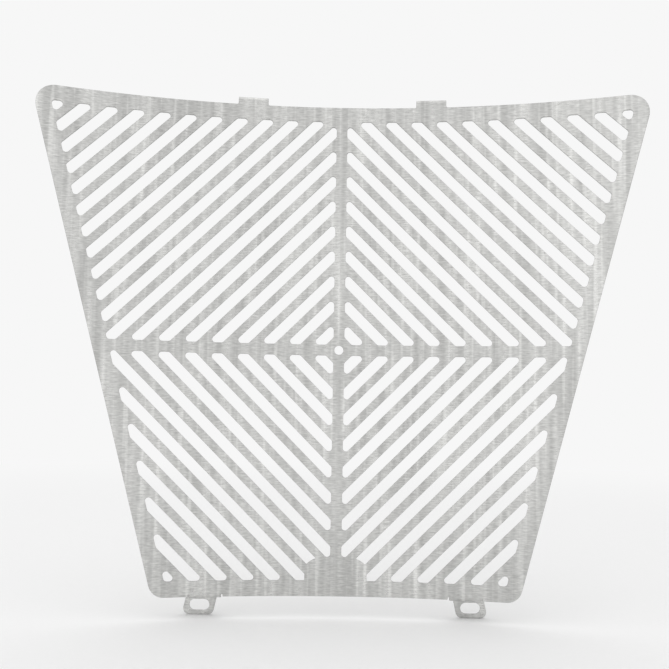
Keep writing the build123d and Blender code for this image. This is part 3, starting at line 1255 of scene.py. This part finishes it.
@dataclass(frozen=True)
class PalePaper:
    """Finish of the floor: pale paper with a faint tooth, running out into the tone of the surroundings."""

    tooth: Marks = Marks("paper tooth", (400.0, 400.0, 400.0), 2.0, (0.858, 0.882), FULL_RANGE)
    roughness: float = 0.9
    gloss: float = 0.1
    fade: tuple[float, float] = (0.45, 1.5)      # metres from the guard

    def material(self, surroundings: float) -> bpy.types.Material:
        """Builds the finish from fine noise and the distance from the guard, on Object coordinates.

        Args:
            surroundings: Tone that the camera and the metal see where the floor has run out.

        Returns:
            A rough pale material that keeps shadows near the guard.
        """
        material = bpy.data.materials.new("pale_paper")
        material.use_nodes = True
        desk = NodeDesk(material.node_tree)
        shader = material.node_tree.nodes["Principled BSDF"]
        desk.feed(self.roughness, shader.inputs["Roughness"])
        desk.feed(self.gloss, shader.inputs["Specular IOR Level"])
        place = desk.add("ShaderNodeTexCoord").outputs["Object"]
        paper = desk.spread(desk.noise(place, self.tooth), self.tooth.tones, self.tooth.taken)
        desk.feed(paper, shader.inputs["Base Color"])

        distance = desk.add("ShaderNodeVectorMath")
        distance.operation = "LENGTH"
        desk.feed(place, distance.inputs[0])
        faded = desk.spread(distance.outputs["Value"], FULL_RANGE, self.fade)
        faded.node.interpolation_type = "SMOOTHSTEP"
        share = desk.together(Operation.MULTIPLY, faded, desk.seen_rays())
        tone = desk.add("ShaderNodeEmission")
        desk.feed(surroundings, tone.inputs["Strength"])
        seen = desk.mixed(share, shader.outputs["BSDF"], tone.outputs["Emission"])
        desk.feed(seen, material.node_tree.nodes["Material Output"].inputs["Surface"])
        return material


@dataclass(frozen=True)
class SoftLamp:
    """One square area lamp, aimed at a point; lengths in metres, power in watts."""

    name: str
    place: tuple[float, float, float]
    power: float
    width: float

    def build(self, target: np.ndarray) -> bpy.types.Object:
        """Hangs the lamp and aims it.

        Args:
            target: Point that the lamp looks at.

        Returns:
            The lamp's object.
        """
        light = bpy.data.lights.new(self.name, "AREA")
        light.energy = self.power
        light.size = self.width
        lamp = in_scene(self.name, light)
        place = np.asarray(self.place)
        away = unit(place - target)
        right = unit(np.cross(UP, away))
        lamp.matrix_world = standing(right, np.cross(away, right), away, place)
        return lamp


@dataclass
class Studio:
    """Pale floor, soft light and the camera of the photograph."""

    sizes: SheetSizes = field(default_factory=SheetSizes)
    paper: PalePaper = field(default_factory=PalePaper)
    floor_middle: float = 0.05       # radius of the floor's first ring in metres
    floor_radius: float = 12.0
    floor_rings: int = 24
    floor_spokes: int = 96
    lamps: tuple[SoftLamp, ...] = (
        SoftLamp("overhead_lamp", place=(-0.3, -0.4, 2.2), power=5.0, width=2.4),
        SoftLamp("key_lamp", place=(-1.2, -1.6, 0.7), power=3.0, width=1.4),
    )
    background: float = 0.93
    ambient: float = 0.96

    # from the hub to the camera in millimetres, and the camera's turns about X, Y and Z in radians
    camera_offset: tuple[float, float, float] = (-5.382411, -540.216096, -37.531945)
    camera_turns: tuple[float, float, float] = (0.08849733, -0.01563562, -0.00575115)
    focal_pixels: float = 819.55006
    frame_pixels: int = 669
    sensor: float = 36.0             # width in millimetres
    nearest: float = 0.01            # metres from the camera at which its view starts

    @property
    def hub(self) -> np.ndarray:
        """The hub's place in the part's frame, in millimetres."""
        return np.array([0.0, -self.sizes.foot_back, -self.sizes.bolt_height])

    def build_floor(self, level: float) -> bpy.types.Object:
        """Builds the floor as a disc.

        A radius and an angle on a grid: the radius grows by equal ratios, and the angle goes once round.

        Args:
            level: Height of the floor.

        Returns:
            The floor's object, which isn't part of the guard.
        """
        count = self.floor_spokes
        radii = np.geomspace(self.floor_middle, self.floor_radius, self.floor_rings)
        grid = (radii[:, None, None] * spokes(count)).reshape(-1, 2)
        flat = np.vstack([[(0.0, 0.0)], grid])
        points = np.column_stack([flat, np.full(len(flat), level)])
        here = np.arange(count)
        ahead = (here + 1) % count
        middle = np.stack([np.zeros(count, dtype=int), 1 + here, 1 + ahead], axis=1)
        rings = ring_faces(1 + count * np.arange(self.floor_rings), ahead)
        mesh = bpy.data.meshes.new("pale_floor")
        mesh.from_pydata(points.tolist(), [], middle.tolist() + rings.tolist())
        mesh.materials.append(self.paper.material(self.background))
        floor = in_scene("pale_floor", mesh)
        return floor

    def build_world(self) -> None:
        """Gives the surroundings a pale tone to the camera and the metal, and another as light."""
        world = bpy.data.worlds.new("pale_room")
        world.use_nodes = True
        bpy.context.scene.world = world
        desk = NodeDesk(world.node_tree)
        seen = world.node_tree.nodes["Background"]
        light = desk.add("ShaderNodeBackground")
        for tone, strength in ((seen, self.background), (light, self.ambient)):
            tone.inputs["Color"].default_value = WHITE
            desk.feed(strength, tone.inputs["Strength"])
        both = desk.mixed(desk.seen_rays(), light.outputs["Background"], seen.outputs["Background"])
        desk.feed(both, world.node_tree.nodes["World Output"].inputs["Surface"])

    def build_camera(self) -> bpy.types.Object:
        """Sets the camera where the photograph was taken from.

        Returns:
            The camera's object, with the photograph's field of view.
        """
        about_x, about_y, about_z = self.camera_turns
        turn = (
            Matrix.Rotation(about_z, 3, "Z")
            @ Matrix.Rotation(about_y, 3, "Y")
            @ Matrix.Rotation(about_x, 3, "X")
        )
        right, forward, up = np.array(turn).T
        data = bpy.data.cameras.new("photo_camera")
        data.sensor_fit = "HORIZONTAL"
        data.sensor_width = self.sensor
        data.lens = self.focal_pixels * self.sensor / self.frame_pixels
        data.clip_start = self.nearest
        camera = in_scene("photo_camera", data)
        camera.matrix_world = standing(right, up, -forward, (self.hub + self.camera_offset) * MM)
        bpy.context.scene.camera = camera
        return camera

    def build(self, level: float) -> None:
        """Builds the floor, the surroundings, the lamps and the camera.

        Args:
            level: Height of the floor.
        """
        self.build_floor(level)
        self.build_world()
        for lamp in self.lamps:
            lamp.build(self.hub * MM)
        self.build_camera()
        bpy.context.scene.view_settings.view_transform = "Standard"
        log.info("studio: floor at %.4f m, %d lamps", level, len(self.lamps))


def main() -> None:
    """Builds the guard and its studio in order."""
    logging.basicConfig(level=logging.INFO, format="%(name)s: %(message)s")
    panel = GuardPanel()
    piece = panel.build()
    panel.dress(piece)
    floor_level = float(cad_box[0][2])
    Studio().build(floor_level)


if __name__ == "__main__":
    main()
